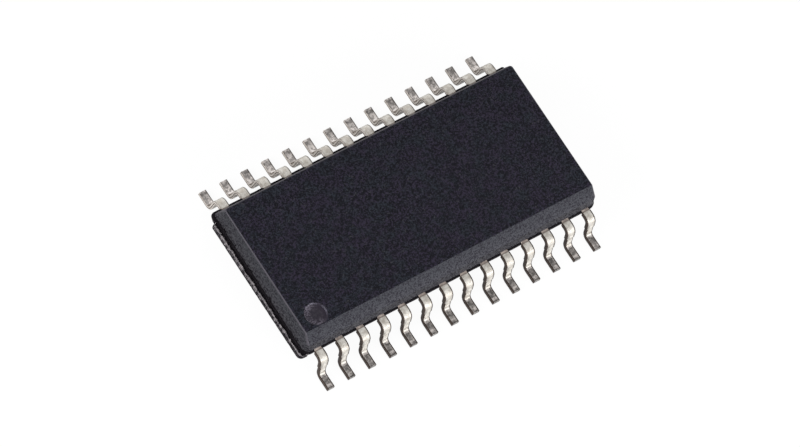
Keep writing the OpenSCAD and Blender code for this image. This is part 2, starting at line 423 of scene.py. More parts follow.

# %% [markdown]
# ## Finish of broken resin
#
# Where the mould halves met, resin crept out as flash, and where the runner entered, it was
# snapped off. Broken resin has no moulded skin: it is matt and almost black. Along its broken
# rim it is painted pale in chips: a painted highlight where the raised rim catches the light.
# The ledge carries an attribute named "rim" that says how close a point is to the broken edge,
# so that this painted highlight follows the real shape. On the flash that attribute is missing,
# which reads as 0, so the flash stays dark.

# %% Broken resin
def broken_resin():
    material, graph, shader = new_finish("broken_resin", Specular_IOR_Level=0.10)
    chips = grains(graph, 0.16 * MM, detail=4.0, roughness=0.7)
    crumbs = grains(graph, 0.05 * MM, detail=3.0)
    # Pale chips on the raised rim: a painted highlight.
    rim_highlight = between(attribute(graph, "rim") * 0.8 + chips * 0.5, 0.62, 0.88)
    rim_highlight_tone = mix_colours(between(chips, 0.38, 0.62), (0.130, 0.122, 0.132), (0.380, 0.350, 0.360))
    crust = mix_colours(between(crumbs, 0.5, 0.7), (0.0040, 0.0030, 0.0045), (0.026, 0.021, 0.027))
    graph.feed(shader.inputs["Base Color"], mix_colours(rim_highlight, crust, rim_highlight_tone))
    graph.feed(shader.inputs["Roughness"], 0.6 + crumbs * 0.3)
    bump(graph, shader, chips * 0.6 + crumbs * 0.4, 0.03 * MM, 0.8)
    return material


RESIN = broken_resin()
print("made", RESIN.name)

# %% [markdown]
# ## Finish of the plated leads
#
# The leads are stamped from copper alloy and plated with tin. The rolled faces are satin and
# pale, with painted reflection and shade on them: darker along the leg, beside the bends and at
# the start of the foot. The foot is grey and smudged, with painted reflection and shade along it.
# The side walls are sheared and lined, and on the near row painted dark brown as shade. At the
# exit the plating is thin and the copper lends it a pinkish tone, beside a dark line painted as shade.
#
# Every mask is built on where a point is on its lead: its height over the board, its distance
# from the middle of the body, and its distance from the middle of its own lead. The last one
# comes from the remainder of x divided by the lead spacing, so one material serves them all.

# %% Where a point is on its lead
LEAD_RISE = 1.6 * MM


def on_lead(graph):
    x, y, z = parts(place(graph))
    lean_x, _, upward = parts(normal(graph))
    step = ((x - FIRST_X) / SPACING + 0.5).math("FRACT")
    leftward = (0.5 - step) * SPACING
    return SimpleNamespace(
        z=z,
        out=y.math("ABSOLUTE"),
        far=between(y, -1 * MM, 1 * MM),
        sideways=lean_x.math("ABSOLUTE"),
        upward=upward,
        leftward=leftward,
        off_centre=leftward.math("ABSOLUTE"),
    )


print("leads repeat every", round(SPACING / MM, 3), "mm")

# %% [markdown]
# The tones run along the lead as stops of a Color Ramp, from the board up for the leg and from
# heel to tip for the foot. They are painted light: painted reflection and shade of the dark body
# and the white table on the bends, the leg and the foot. The two rows face these differently, so
# each gets its own stops. On the near row a darker band beside the middle is painted reflection
# too, and so is a darker left part of the waist. A rib
# of duller metal beside the middle shows where the punch was narrower than the lead.

# %% Rolled faces: shoulder, bends and leg
# Stops of painted reflection and shade up the lead, for each row and for the band beside the middle.
NEAR_LEG = [
    (0.16, 0.62), (0.19, 0.47), (0.25, 0.62), (0.31, 0.84), (0.42, 0.74),
    (0.48, 0.64), (0.60, 0.76), (0.76, 0.58), (0.90, 0.54), (0.95, 0.80),
]
NEAR_SIDE_SHADE = [
    (0.16, 0.60), (0.30, 0.80), (0.42, 0.72), (0.49, 0.56), (0.56, 0.42),
    (0.68, 0.38), (0.80, 0.50), (0.92, 0.60), (0.95, 0.80),
]
FAR_LEG = [
    (0.14, 0.60), (0.18, 0.80), (0.25, 0.75), (0.36, 0.63), (0.44, 0.66),
    (0.60, 0.77), (0.70, 0.66), (0.76, 0.60), (0.85, 0.76), (0.94, 0.92),
]


def rolled_face(at, cloud):
    """Satin plating with painted reflection and shade, by height over the board and beside the middle of
    the lead.
    """
    satin = mix_colours(between(cloud, 0.3, 0.7), (0.66, 0.61, 0.54), (0.92, 0.89, 0.83))
    up_lead = at.z / LEAD_RISE + (cloud - 0.5) * 0.06
    # A darker left part of the waist on the near row: painted reflection.
    waist = between(at.z, 0.55 * MM, 0.75 * MM) * (1 - between(at.z, 1.0 * MM, 1.25 * MM))
    shaded_left_side = waist * between(at.leftward, 0, 0.14 * MM)
    beside = between(at.off_centre, 0.11 * MM, 0.19 * MM).math("MAXIMUM", shaded_left_side)
    near = mix_colours(beside, tones(up_lead, NEAR_LEG), tones(up_lead, NEAR_SIDE_SHADE))
    return tinted(satin, mix_colours(at.far, near, tones(up_lead, FAR_LEG)))


print("tones up the leg:", len(NEAR_LEG), len(NEAR_SIDE_SHADE), len(FAR_LEG))

# %% Foot
# Stops of painted reflection and shade along the foot, darker on the near row, which reflects the dark
# body.
NEAR_FOOT = [
    (0.0, 0.36), (0.04, 0.15), (0.16, 0.24), (0.34, 0.20), (0.42, 0.28), (0.56, 0.24),
    (0.66, 0.52), (0.80, 0.36), (0.86, 0.30), (0.93, 0.10), (1.0, 0.35),
]
NEAR_FOOT_SIDE = [(0.0, 0.62), (0.3, 0.42), (0.84, 0.44), (0.93, 0.22), (1.0, 0.5)]
FAR_FOOT = [
    (0.0, 0.92), (0.15, 0.76), (0.35, 0.60), (0.60, 0.46), (0.78, 0.34), (0.90, 0.62), (1.0, 0.74),
]


def foot_face(graph, at, cloud, fine):
    """Grey plating with painted reflection and shade, from the heel at 0 to the tip at 1."""
    smudge = between(grains(graph, 0.14 * MM), 0.38, 0.62)
    on_foot = (at.out - FOOT_START) / (FOOT_END - FOOT_START) + (cloud - 0.5) * 0.16
    beside = between(at.off_centre + (fine - 0.5) * 0.1 * MM, 0.09 * MM, 0.17 * MM)
    near = mix_colours(beside, tones(on_foot, NEAR_FOOT), tones(on_foot, NEAR_FOOT_SIDE))
    foot_shading = mix_colours(at.far, near, tones(on_foot, FAR_FOOT))
    return dimmed(tinted(foot_shading, (1.0, 0.93, 0.89)), 0.54 + smudge * 0.76)


print("tones along the foot:", len(NEAR_FOOT), len(NEAR_FOOT_SIDE), len(FAR_FOOT))

# %% [markdown]
# A punch shears a strip in two steps: it cuts smoothly at first, then the rest breaks away. So
# a side wall shows lines along the strip, which bend with it. On the near row the walls are
# painted dark brown, as painted shade, with bands across. The strip tree further down stores two
# attributes for this: "depth" runs from -0.5 under the strip to 0.5 on top of it, and "width"
# is how wide the strip is, which tells how far a point is from the edge of the rolled face.

# %% Sheared walls, edge shade and exit
def sheared_wall(graph, at, cloud, fine):
    depth = attribute(graph, "depth")
    bands = ((depth * 2.3 + cloud * 0.8) * 6.28).math("SINE") * 0.5 + 0.5
    # Near walls: painted shade, dark brown with bands of the shear.
    shaded_wall = mix_colours(fine * 0.4 + bands * 0.4, (0.016, 0.011, 0.009), (0.095, 0.076, 0.064))
    level = depth + (cloud - 0.5) * 0.3
    middle_line = 1 - between((level - 0.08).math("ABSOLUTE"), 0.06, 0.18)
    lines = middle_line.math("MAXIMUM", 1 - between(level, -0.46, -0.34)) * (0.70 + fine * 0.7)
    lined = mix_colours(lines * 0.9, (0.70, 0.65, 0.60), (0.09, 0.07, 0.06))
    return mix_colours(at.far, shaded_wall, lined)


def edge_shade(graph, at, fine):
    """Mask of a dark line painted as shade along both edges of the rolled face, weaker on the far row.
    """
    from_edge = attribute(graph, "width") * 0.5 - at.off_centre + (fine - 0.5) * 0.03 * MM
    line = 1 - between(from_edge, 0.060 * MM, 0.085 * MM)
    return line * (1.0 - at.far * (0.35 + between(at.leftward, 0, 0.05 * MM) * 0.4))


def heel_reflection(at, rolled, fine):
    """Mask of dark arcs across the inside of the lower bend, on the far row: painted reflection and
    shade.
    """
    along_heel = (at.out - FOOT_START) / MM + (rolled - 0.5) * 0.05
    marks = between(along_heel, -0.20, -0.15) * (1 - between(along_heel, -0.09, -0.04))
    return marks * at.far * (1 - between(at.z, 0.35 * MM, 0.5 * MM)) * (0.5 + fine)


def exit_tone(cloud):
    """Thin plating that lets the copper through."""
    return mix_colours(between(cloud, 0.35, 0.65), (0.30, 0.25, 0.225), (0.56, 0.48, 0.43))


print("walls, burr and exit of a lead")

# %% Plated lead
def plated_lead():
    material, graph, shader = new_finish("plated_lead", Specular_IOR_Level=0.25)
    at = on_lead(graph)
    cloud = grains(graph, 0.22 * MM, detail=3.0, roughness=0.6)
    fine = grains(graph, 0.06 * MM, detail=3.0, roughness=0.6)
    drawn = grains(graph, 0.10 * MM, stretch=(1.0, 0.15, 1.0))
    rolled = grains(graph, 0.05 * MM, stretch=(0.12, 1.0, 1.0))

    flat = between(at.upward, 0.75, 0.97) * (1 - between(at.z, 0.24 * MM, 0.30 * MM))
    colour = mix_colours(flat, rolled_face(at, cloud), foot_face(graph, at, cloud, fine))
    # Dark arcs inside the lower bend of the far row: painted reflection and shade.
    colour = mix_colours(heel_reflection(at, rolled, fine) * 0.8, colour, (0.12, 0.09, 0.07))
    colour = mix_colours(between(at.sideways, 0.25, 0.6), colour, sheared_wall(graph, at, cloud, fine))
    upright = 1 - between(at.upward.math("ABSOLUTE"), 0.3, 0.6)
    cut_tip = between(at.out, FOOT_END - 0.02 * MM, FOOT_END) * upright
    colour = mix_colours(cut_tip, colour, (0.17, 0.16, 0.155))
    # A dark line along both edges of the rolled face: painted shade.
    colour = mix_colours(edge_shade(graph, at, fine), colour, (0.045, 0.032, 0.026))
    neck = 1 - between(at.out, EXIT_Y, EXIT_Y + 0.02 * MM)
    colour = mix_colours(neck, colour, exit_tone(cloud))
    # A dark line at the outer end of the pinkish neck: painted shade, with no groove in the shape.
    past_crease_shade = between(at.out, EXIT_Y + 0.02 * MM, EXIT_Y + 0.07 * MM)
    crease_shade = between(at.out, EXIT_Y - 0.03 * MM, EXIT_Y) * (1 - past_crease_shade)
    colour = mix_colours(crease_shade * 0.85, colour, (0.20, 0.16, 0.14))

    graph.feed(shader.inputs["Base Color"], colour)
    graph.feed(shader.inputs["Metallic"], 0.48 - neck * 0.2)
    graph.feed(shader.inputs["Roughness"], 0.42 + cloud * 0.12 + flat * 0.04)
    bump(graph, shader, drawn * 0.4 + fine * 0.4 + rolled * 0.2, 0.006 * MM, 0.5)
    return material


PLATING = plated_lead()
print("made", PLATING.name)

# %% [markdown]
# ## Finishes inside the package
#
# The paddle, the die, its adhesive and the bond wires are sealed in the compound. They still
# get true finishes, because a part from a library may be cut open: bare copper alloy, silicon
# with a faint grid of tracks, grey silver-filled adhesive, and gold.

# %% Copper and silicon
def copper_paddle():
    material, graph, shader = new_finish("copper_paddle", Metallic=1.0)
    rolled = grains(graph, 0.12 * MM, detail=3.0, stretch=(0.1, 1.0, 1.0))
    graph.feed(shader.inputs["Base Color"], mix_colours(rolled, (0.66, 0.36, 0.22), (0.84, 0.55, 0.38)))
    graph.feed(shader.inputs["Roughness"], 0.3 + rolled * 0.2)
    bump(graph, shader, rolled, 0.004 * MM, 0.5)
    return material


def silicon():
    material, graph, shader = new_finish("silicon", Metallic=0.6)
    tracks = graph.node("ShaderNodeTexBrick", None, {
        "Vector": place(graph),
        "Scale": 1 / (0.5 * MM),
        "Mortar Size": 0.03,
        "Color1": (0.07, 0.09, 0.14, 1.0),
        "Color2": (0.14, 0.12, 0.19, 1.0),
        "Mortar": (0.30, 0.30, 0.27, 1.0),
    }, out="Color")
    cloud = grains(graph, 0.3 * MM)
    graph.feed(shader.inputs["Base Color"], mix_colours(cloud * 0.3, tracks, (0.05, 0.08, 0.13)))
    graph.feed(shader.inputs["Roughness"], 0.15 + cloud * 0.1)
    bump(graph, shader, cloud, 0.001 * MM, 0.3)
    return material


COPPER = copper_paddle()
SILICON = silicon()
print("made", COPPER.name, "and", SILICON.name)

# %% Adhesive and gold
def silver_adhesive():
    material, graph, shader = new_finish("silver_adhesive", Metallic=0.5)
    flakes = grains(graph, 0.04 * MM, detail=3.0)
    graph.feed(shader.inputs["Base Color"], mix_colours(flakes, (0.42, 0.42, 0.41), (0.72, 0.72, 0.70)))
    graph.feed(shader.inputs["Roughness"], 0.45 + flakes * 0.3)
    bump(graph, shader, flakes, 0.006 * MM, 0.6)
    return material


def gold_wire():
    material, graph, shader = new_finish("gold_wire", Metallic=1.0)
    cloud = grains(graph, 0.05 * MM)
    graph.feed(shader.inputs["Base Color"], mix_colours(cloud, (0.90, 0.62, 0.20), (1.0, 0.78, 0.36)))
    graph.feed(shader.inputs["Roughness"], 0.2 + cloud * 0.1)
    bump(graph, shader, cloud, 0.001 * MM, 0.3)
    return material


ADHESIVE = silver_adhesive()
GOLD = gold_wire()
print("made", ADHESIVE.name, "and", GOLD.name)

# %% [markdown]
# ## The moulded body
#
# The compound sets between two mould halves that meet at the plane of the leads. Each half is
# drafted so that the part falls out, and the upper one has a bevel along the side of pin 1.
# The shape is a stack of rounded rectangles, one at each height where a face begins, joined
# ring to ring like a lampshade. No mould edge is perfectly sharp, and the thin bright lines
# along the edges come from that, so the top and bottom edges get a few rings of their own that
# turn them over. A Boolean then cuts the dimple that marks pin 1 and the two marks of the
# ejector pins, and a fine Bevel breaks the edges that are left.

# %% Helpers for objects
def link(name, mesh, material=None):
    """Puts a mesh in the scene as a new object at the origin."""
    obj = bpy.data.objects.new(name, mesh)
    bpy.context.scene.collection.objects.link(obj)
    if material:
        mesh.materials.clear()
        mesh.materials.append(material)
    return obj


def baked(obj):
    """Replaces an object's mesh with the result of its modifiers, and drops them."""
    graph = bpy.context.evaluated_depsgraph_get()
    result = bpy.data.meshes.new_from_object(obj.evaluated_get(graph), depsgraph=graph)
    obj.modifiers.clear()
    old = obj.data
    obj.data = result
    bpy.data.meshes.remove(old)
    return obj


def smooth(obj, angle=30):
    obj.data.shade_smooth()
    obj.data.set_sharp_from_angle(angle=radians(angle))
    return obj


def break_edges(obj, width, segments=3, angle=20, harden=True):
    bevel = obj.modifiers.new("broken_edges", "BEVEL")
    bevel.width = width
    bevel.segments = segments
    bevel.limit_method = "ANGLE"
    bevel.angle_limit = radians(angle)
    bevel.harden_normals = harden
    obj.data.shade_smooth()
    return baked(obj)


print("object helpers ready")

# %% Helpers for meshes
def mesh_from(name, points, faces):
    mesh = bpy.data.meshes.new(name)
    mesh.from_pydata(points, [], faces)
    mesh.update()
    return mesh


def loft(name, rings):
    """A closed solid through rings that all have the same number of points."""
    count = len(rings[0])
    points = [point for ring in rings for point in ring]
    faces = [tuple(reversed(range(count)))]
    for k in range(len(rings) - 1):
        low, high = k * count, (k + 1) * count
        for j in range(count):
            after = (j + 1) % count
            faces.append((low + j, low + after, high + after, high + j))
    faces.append(tuple(range(len(points) - count, len(points))))
    return mesh_from(name, points, faces)


def rounded_ring(left, right, near, far, near_r, far_r, z, steps=6):
    """Points of a rounded rectangle, anticlockwise from above. Near and far corners differ."""
    corners = (
        (right, far, far_r, 0),
        (left, far, far_r, 90),
        (left, near, near_r, 180),
        (right, near, near_r, 270),
    )
    ring = []
    for x, y, radius, start in corners:
        centre_x = x - radius if x == right else x + radius
        centre_y = y - radius if y == far else y + radius
        for step in range(steps + 1):
            angle = radians(start + 90 * step / steps)
            ring.append((centre_x + radius * cos(angle), centre_y + radius * sin(angle), z))
    return ring


print("mesh helpers ready")

# %% [markdown]
# The mould halves of a real package never meet quite true. This one is shifted a few
# hundredths of a millimetre towards the far side, its near corners are rounder at the parting
# line than at the top, and its far side and right end lean by a hair. Such small untruths make
# a block look moulded instead of drawn.

# %% Body shell
def body_ring(height, near_r, rounding=0.0, near_inset=0.0, far_inset=0.0, right_outset=0.0):
    """Outline of the body at a height over the parting plane, or under it if negative."""
    half_l = HALF_L - abs(height) * END_DRAFT - rounding
    half_w = HALF_W - abs(height) * SIDE_DRAFT - rounding
    near = -half_w + MOULD_SHIFT + near_inset
    far = half_w + MOULD_SHIFT - far_inset
    right = half_l + right_outset
    return rounded_ring(-half_l, right, near, far, near_r, CORNER_R, FRAME_Z + height)


def rounded_edge(height, radius, steps=5):
    """Heights and insets that round an edge over from an upright face to a level one."""
    angles = [pi / 2 * k / steps for k in range(steps + 1)]
    return [(height - radius + radius * sin(a), radius * (1 - cos(a))) for a in angles]


def bevel_ring(height, rounding):
    """Outline of the body between the foot of the bevel and the top face."""
    up_bevel = (height - UPPER_H + BEVEL_H) / BEVEL_H
    return body_ring(
        height,
        (0.22 - 0.16 * up_bevel) * MM,
        rounding,
        near_inset=BEVEL_W * up_bevel - rounding,
        far_inset=(0.05 + 0.07 * up_bevel) * MM,
        right_outset=(0.02 + 0.03 * up_bevel) * MM,
    )


lower = [body_ring(-h, 0.18 * MM, inset) for h, inset in reversed(rounded_edge(LOWER_H, EDGE_R))]
parting = [body_ring(h, 0.38 * MM, right_outset=-0.02 * MM) for h in (-0.001 * MM, 0.0)]
bevel_foot = [body_ring(UPPER_H - BEVEL_H, 0.22 * MM, far_inset=0.05 * MM, right_outset=0.02 * MM)]
upper = [bevel_ring(h, inset) for h, inset in rounded_edge(UPPER_H, EDGE_R)]
body = link("moulded_body", loft("moulded_body", lower + parting + bevel_foot + upper), COMPOUND)
print("body shell:", len(body.data.polygons), "faces")

# %% Dimple and ejector marks
def turned(name, profile, centre, steps=64):
    """A solid of revolution about an upright axis, from a profile of (radius, height)."""
    turns = [2 * pi * k / steps for k in range(steps)]
    rings = [
        [(centre[0] + r * cos(turn), centre[1] + r * sin(turn), z) for turn in turns]
        for r, z in profile
    ]
    return link(name, loft(name, rings))


def cut_out(obj, cutter):
    boolean = obj.modifiers.new("cut", "BOOLEAN")
    boolean.operation = "DIFFERENCE"
    boolean.solver = "EXACT"
    boolean.object = cutter
    baked(obj)
    bpy.data.objects.remove(cutter)


AXIS_R = 0.001 * MM
floor_r = DIMPLE_R - DIMPLE_WALL
dish = [
    (floor_r * k / 6 + AXIS_R, BODY_TOP - DIMPLE_WALL - DIMPLE_DISH * (1 - (k / 6) ** 2))
    for k in range(7)
]
over_rim = [(DIMPLE_R + DIMPLE_WALL, BODY_TOP + DIMPLE_WALL), (AXIS_R, BODY_TOP + DIMPLE_WALL)]
cut_out(body, turned("dimple_cutter", dish + over_rim, DIMPLE_CENTRE))

for end in (-1, 1):
    well = [(EJECTOR_R, BODY_BOTTOM - EJECTOR_R), (EJECTOR_R, BODY_BOTTOM + EJECTOR_DEPTH)]
    cut_out(body, turned("ejector_cutter", well, (end * (HALF_L - EJECTOR_INSET), 0.0)))

break_edges(body, 0.03 * MM)
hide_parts("body")
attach(body, "root")
print("moulded body:", len(body.data.polygons), "faces")

# %% [markdown]
# ## Flash along the parting line
#
# The thin rim that stands out between the leads is resin that filled the slot up to the dam
# bars before these were cut away. Its outer face is a break, so it wanders a little. It is one
# thin plate, lofted like the body, whose outline is nudged inwards by noise. Next to the gate
# the resin crept further, so behind the ledge the plate is a little wider.

# %% Ragged outlines
LEDGE_OUTER = -HALF_L - LEDGE_REACH
LEDGE_INNER = -HALF_L + 0.1 * MM
LEDGE_NEAR = -HALF_W - NEAR_FLASH + MOULD_SHIFT
LEDGE_FAR = HALF_W - LEDGE_INSET


def ragged_outline(outline, wander, step=0.12 * MM):
    """Closely spaced points along an outline, which noise pushes inwards."""
    points = []
    for a, b in zip(outline, outline[1:] + outline[:1]):
        a, b = Vector(a), Vector(b)
        pieces = max(1, round((b - a).length / step))
        inward = Vector((a.y - b.y, b.x - a.x, 0.0)).normalized()
        for k in range(pieces):
            point = a.lerp(b, k / pieces)
            depth = 0.5 + 0.5 * noise.noise(point / (0.3 * MM))
            points.append(point + inward * wander * min(max(depth, 0.0), 1.0))
    return points


def share_of_way(value, low, high):
    """0 below low, 1 above high and straight between them."""
    return min(max((value - low) / (high - low), 0.0), 1.0)


print("ledge from y", round(LEDGE_NEAR / MM, 2), "to", round(LEDGE_FAR / MM, 2), "mm")

# %% Flash rim
def flash_outline(height):
    outline = rounded_ring(
        -HALF_L - FLASH_W,
        HALF_L - 0.01 * MM,
        -HALF_W - NEAR_FLASH + MOULD_SHIFT,
        HALF_W + FAR_FLASH + MOULD_SHIFT,
        0.42 * MM,
        0.15 * MM,
        height,
    )
    outline = ragged_outline(outline, 0.02 * MM)
    for p in outline:
        if p.x < -HALF_L and p.y > LEDGE_FAR - 0.02 * MM:
            from_corner = share_of_way(HALF_W + MOULD_SHIFT - p.y, 0.0, 0.3 * MM)
            p.x -= (0.03 + 0.09 * from_corner) * MM
    return outline


def flash_rim():
    """A thin plate at the parting plane, a little thinner than the leads."""
    sink = 0.012 * MM
    edge = 0.02 * MM
    top = FRAME_TOP - sink
    bottom = FRAME_TOP - LEAD_T + sink
    outline = flash_outline(top)

    def ring(z, inset):
        shrunk = []
        for p in outline:
            in_x = inset if p.x > 0 else -inset
            in_y = inset if p.y > MOULD_SHIFT else -inset
            shrunk.append((p.x - in_x, p.y - in_y, z))
        return shrunk

    rings = [ring(bottom, edge), ring(bottom + edge, 0.0), ring(top - edge, 0.0), ring(top, edge)]
    return smooth(link("flash_rim", loft("flash_rim", rings), RESIN))


flash = flash_rim()
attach(flash, "root")
print("flash rim:", len(flash.data.polygons), "faces")

# %% [markdown]
# ## The broken ledge at the gate end
#
# Resin entered the mould at this end, and a broad ledge of it stayed on when the runner was
# snapped off. Its top is torn: deep and black next to the body, raised and chipped along the
# outer rim, with tongues of resin that climb the body where they tore last. A grid of points
# makes the top, and noise lifts and drops them. The same noise fills the attribute "rim", so
# that the pale painted highlight lies exactly on the raised places.

# %% Shape of the torn ledge
def torn(x, y, size, seed):
    return noise.fractal(Vector((x / size, y / size, seed)), 1.0, 2.0, 4)


def ledge_edge(y):
    """Outer edge of the ledge at y, with its two rounded corners and a few nicks."""
    radius = 0.28 * MM if y < 0 else 0.16 * MM
    from_end = max(0.0, min(y - LEDGE_NEAR, LEDGE_FAR - y))
    corner = 0.0
    if from_end < radius:
        corner = radius - (radius ** 2 - (radius - from_end) ** 2) ** 0.5
    return LEDGE_OUTER + corner + 0.015 * MM * max(0.0, torn(0.0, y, 0.25 * MM, 3.0))


def tongue_height(x, y):
    """How far the resin climbs where the ledge meets the body."""
    tongue = max(0.0, torn(0.0, y, 0.35 * MM, 11.0) + 0.15) * (0.6 + torn(x, y, 0.1 * MM, 13.0))
    return 0.30 * MM * tongue * share_of_way(x, -HALF_L - 0.09 * MM, -HALF_L - 0.02 * MM)


def ledge_profile(x, y, edge):
    """Height of the torn top at a point, and how much painted highlight it gets on the pale rim."""
    depth = x - edge
    rim_in = (0.155 + 0.06 * torn(0.0, y, 0.6 * MM, 7.0) + 0.05 * torn(0.0, y, 0.15 * MM, 9.0)) * MM
    on_rim = min(max((rim_in - depth) / (0.035 * MM) + 0.5, 0.0), 1.0)
    off_lip = min(max((depth - 0.05 * MM) / (0.03 * MM), 0.0), 1.0)
    round_off = 0.06 * MM * max(0.0, 1.0 - depth / (0.06 * MM)) ** 2
    rough = torn(x, y, 0.08 * MM, 1.0)
    near_rim = max(0.0, 1.0 - max(0.0, depth - rim_in) / (0.14 * MM))
    # A painted highlight in pale chips just inside the raised rim.
    chip_highlight = 1.5 * max(0.0, torn(x, y, 0.13 * MM, 5.0) - 0.1) * (1.0 - on_rim) * near_rim
    height = FRAME_TOP - 0.004 * MM - round_off
    height -= (1.0 - on_rim) * (0.055 + 0.035 * abs(rough)) * MM
    height += 0.012 * MM * min(rough, 0.2)
    height += tongue_height(x, y)
    fading = 0.82 + 0.18 * share_of_way(y, -3.9 * MM, -2.5 * MM)
    return height, (on_rim * (0.54 + 0.46 * off_lip) + chip_highlight) * fading


print("ledge is about", round(LEDGE_REACH / MM, 2), "mm wide")

# %% Gate ledge
def closed_slab(across, along):
    """Faces of a slab: a grid of points on top, the same grid below, and a wall between."""
    row = across + 1
    under = row * (along + 1)
    faces = []
    for j in range(along):
        for i in range(across):
            corner = j * row + i
            loop = (corner, corner + 1, corner + row + 1, corner + row)
            faces.append(loop)
            faces.append(tuple(under + v for v in reversed(loop)))
    border = list(range(row)) + [j * row + across for j in range(1, along + 1)]
    border += [along * row + i for i in range(across - 1, -1, -1)]
    border += [j * row for j in range(along - 1, 0, -1)]
    faces += [(a, a + under, b + under, b) for a, b in zip(border, border[1:] + border[:1])]
    return faces


def gate_ledge(across=26, along=420):
    points = []
    rims = []
    for j in range(along + 1):
        y = LEDGE_NEAR + (LEDGE_FAR - LEDGE_NEAR) * j / along
        edge = ledge_edge(y)
        for i in range(across + 1):
            x = edge + (LEDGE_INNER - edge) * (i / across) ** 1.2
            height, rim = ledge_profile(x, y, edge)
            points.append((x, y, height))
            rims.append(rim)
    points += [(x, y, FRAME_TOP - LEAD_T) for x, y, _ in points]
    rims += [0.0] * len(rims)
    mesh = mesh_from("gate_ledge", points, closed_slab(across, along))
    mesh.attributes.new("rim", "FLOAT", "POINT").data.foreach_set("value", rims)
    return smooth(link("gate_ledge", mesh, RESIN), 40)


ledge = gate_ledge()
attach(ledge, "root")
print("gate ledge:", len(ledge.data.polygons), "faces")

# %% [markdown]
# ## The leads
#
# Every lead is one strip of metal that starts as a finger inside the body, comes out at the
# parting line, bends down over the shoulder and out again to the foot. A strip that follows a
# path is a natural job for Geometry Nodes: the path comes in as a chain of edges, each point of
# which knows how wide the strip is there, and the tree sweeps a thin section along it. Curve to
# Mesh alone can't widen a section in one direction only, so the section is made narrow, and
# its left and right halves are then moved apart by the width stored on the path.

# %% Geometry Nodes: inputs of the strip tree
def add_input(tree, name, kind, default=None):
    socket = tree.interface.new_socket(name, in_out="INPUT", socket_type=kind)
    if default is not None:
        socket.default_value = default
    return socket.identifier


def new_strip_tree():
    """An empty tree, with the identifiers of its inputs by name."""
    tree = bpy.data.node_groups.new("strip_along_path", "GeometryNodeTree")
    tree.interface.new_socket("Geometry", in_out="INPUT", socket_type="NodeSocketGeometry")
    tree.interface.new_socket("Geometry", in_out="OUTPUT", socket_type="NodeSocketGeometry")
    inputs = {
        "Thickness": add_input(tree, "Thickness", "NodeSocketFloat", LEAD_T),
        "Edge radius": add_input(tree, "Edge radius", "NodeSocketFloat", LEAD_EDGE_R),
        "Finish": add_input(tree, "Finish", "NodeSocketMaterial"),
    }
    return tree, inputs


print("inputs of the strip: Thickness, Edge radius, Finish")

# %% Geometry Nodes: section and path
def stored(geometry, kind, name, value):
    """Stores a value on every point under a name."""
    inputs = {"Geometry": geometry, "Name": name, "Value": value}
    settings = {"data_type": kind, "domain": "POINT"}
    return geometry.graph.node("GeometryNodeStoreNamedAttribute", settings, inputs)


def recalled(graph, kind, name):
    return graph.node("GeometryNodeInputNamedAttribute", {"data_type": kind}, {"Name": name})


def strip_section(graph, width, thickness, edge):
    """A narrow rounded rectangle that knows its halves and its depth."""
    inputs = {"Width": width, "Height": thickness}
    section = graph.node("GeometryNodeCurvePrimitiveQuadrilateral", {"mode": "RECTANGLE"}, inputs)
    inputs = {"Curve": section, "Count": 3, "Radius": edge}
    section = graph.node("GeometryNodeFilletCurve", {"mode": "POLY"}, inputs)
    x, y, _ = parts(graph.node("GeometryNodeInputPosition"))
    section = stored(section, "FLOAT", "half", x.math("SIGN"))
    return stored(section, "FLOAT", "depth", y / thickness)


def strip_path(graph, chain):
    """The chain of edges as a curve that knows which way is sideways."""
    path = graph.node("GeometryNodeMeshToCurve", None, {0: chain})
    path = graph.node("GeometryNodeSetCurveNormal", {"mode": "Z_UP"}, {"Curve": path})
    inputs = {0: graph.node("GeometryNodeInputTangent"), 1: (0.0, 0.0, 1.0)}
    sideways = graph.node("ShaderNodeVectorMath", {"operation": "CROSS_PRODUCT"}, inputs)
    sideways = graph.node("ShaderNodeVectorMath", {"operation": "NORMALIZE"}, {0: sideways})
    return stored(path, "FLOAT_VECTOR", "sideways", sideways)


print("section and path ready")

# %% Geometry Nodes: a strip along a path
def strip_tree():
    """Builds the tree and returns it with the identifiers of its inputs."""
    tree, inputs = new_strip_tree()
    graph = Graph(tree)
    entry = tree.nodes.new("NodeGroupInput")
    socket = {name: Value(graph, s) for name, s in entry.outputs.items() if name}
    section_w = socket["Edge radius"] * 2.2
    section = strip_section(graph, section_w, socket["Thickness"], socket["Edge radius"])
    path = strip_path(graph, socket["Geometry"])
    ends = {"Curve": path, "Profile Curve": section, "Fill Caps": True}
    swept = graph.node("GeometryNodeCurveToMesh", None, ends)

    width = recalled(graph, "FLOAT", "width")
    half = recalled(graph, "FLOAT", "half")
    shift = dimmed(recalled(graph, "FLOAT_VECTOR", "sideways"), half * (width - section_w) * 0.5)
    swept = graph.node("GeometryNodeSetPosition", None, {"Geometry": swept, "Offset": shift})
    swept = graph.node("GeometryNodeSetShadeSmooth", None, {"Geometry": swept, "Shade Smooth": True})
    swept = graph.node("GeometryNodeRealizeInstances", None, {"Geometry": swept})
    last = {"Geometry": swept, "Material": socket["Finish"]}
    swept = graph.node("GeometryNodeSetMaterial", None, last)
    graph.feed(tree.nodes.new("NodeGroupOutput").inputs[0], swept)
    return tree, inputs


STRIP_TREE, STRIP_INPUTS = strip_tree()
print("tree:", STRIP_TREE.name, "with", len(STRIP_TREE.nodes), "nodes")

# %% [markdown]
# ## Path of a lead
#
# The outer part is the same for all leads: level out of the body, down round the upper bend,
# along the steep leg, and round the lower bend on to the foot. It is worked out once, in the
# plane of the strip, as distance from the middle of the body, height and width. The strip is
# widest over the shoulder, where the stubs of the cut dam bar are left. Inside the body each
# finger slants to its own tip, which is read from the box of its CAD solid.

